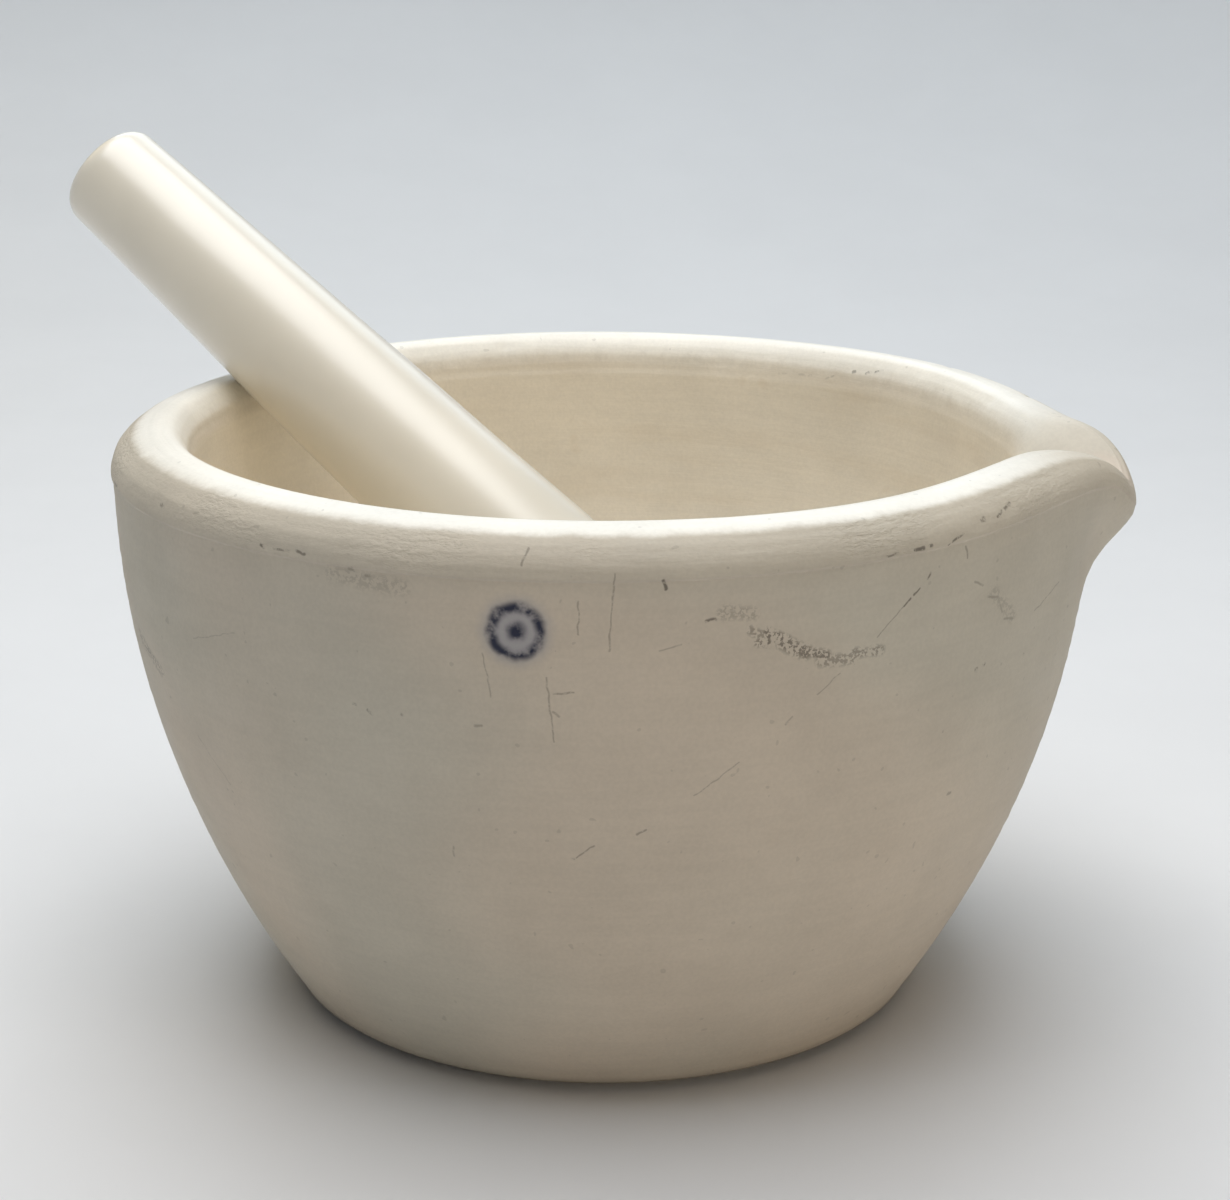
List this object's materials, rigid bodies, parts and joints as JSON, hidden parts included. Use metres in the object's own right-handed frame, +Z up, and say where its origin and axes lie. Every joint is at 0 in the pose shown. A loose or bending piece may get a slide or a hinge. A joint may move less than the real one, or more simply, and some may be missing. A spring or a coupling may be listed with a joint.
{
  "type": "laboratory mortar and pestle",
  "caption": "Thick porcelain grinding bowl with a rolled rim, a pulled pouring lip and a flat foot, and a tapered pestle with a wider rounded head leaning in it.",
  "frame": {"origin": "centre of the mortar's flat foot, on the surface it stands on", "axes": "+Z up along the bowl's axis, +X from the bowl's axis towards the tip of the pouring lip"},
  "size_m": [0.234, 0.2012, 0.1727],
  "materials": {
    "bisque_porcelain": "unglazed, matte, warm off-white with faint turning marks and scuffs",
    "glazed_porcelain": "clear gloss glaze on the shaft, unglazed worn grinding head"
  },
  "bodies": {
    "mortar": {"mortar": "bisque_porcelain"},
    "pestle": {"pestle": "glazed_porcelain"}
  },
  "joints": [
    {"name": "pestle_lift", "type": "slide", "parent": "mortar", "child": "pestle", "axis": [0, 0, 1], "range_m": [0, 0.13]}
  ]
}
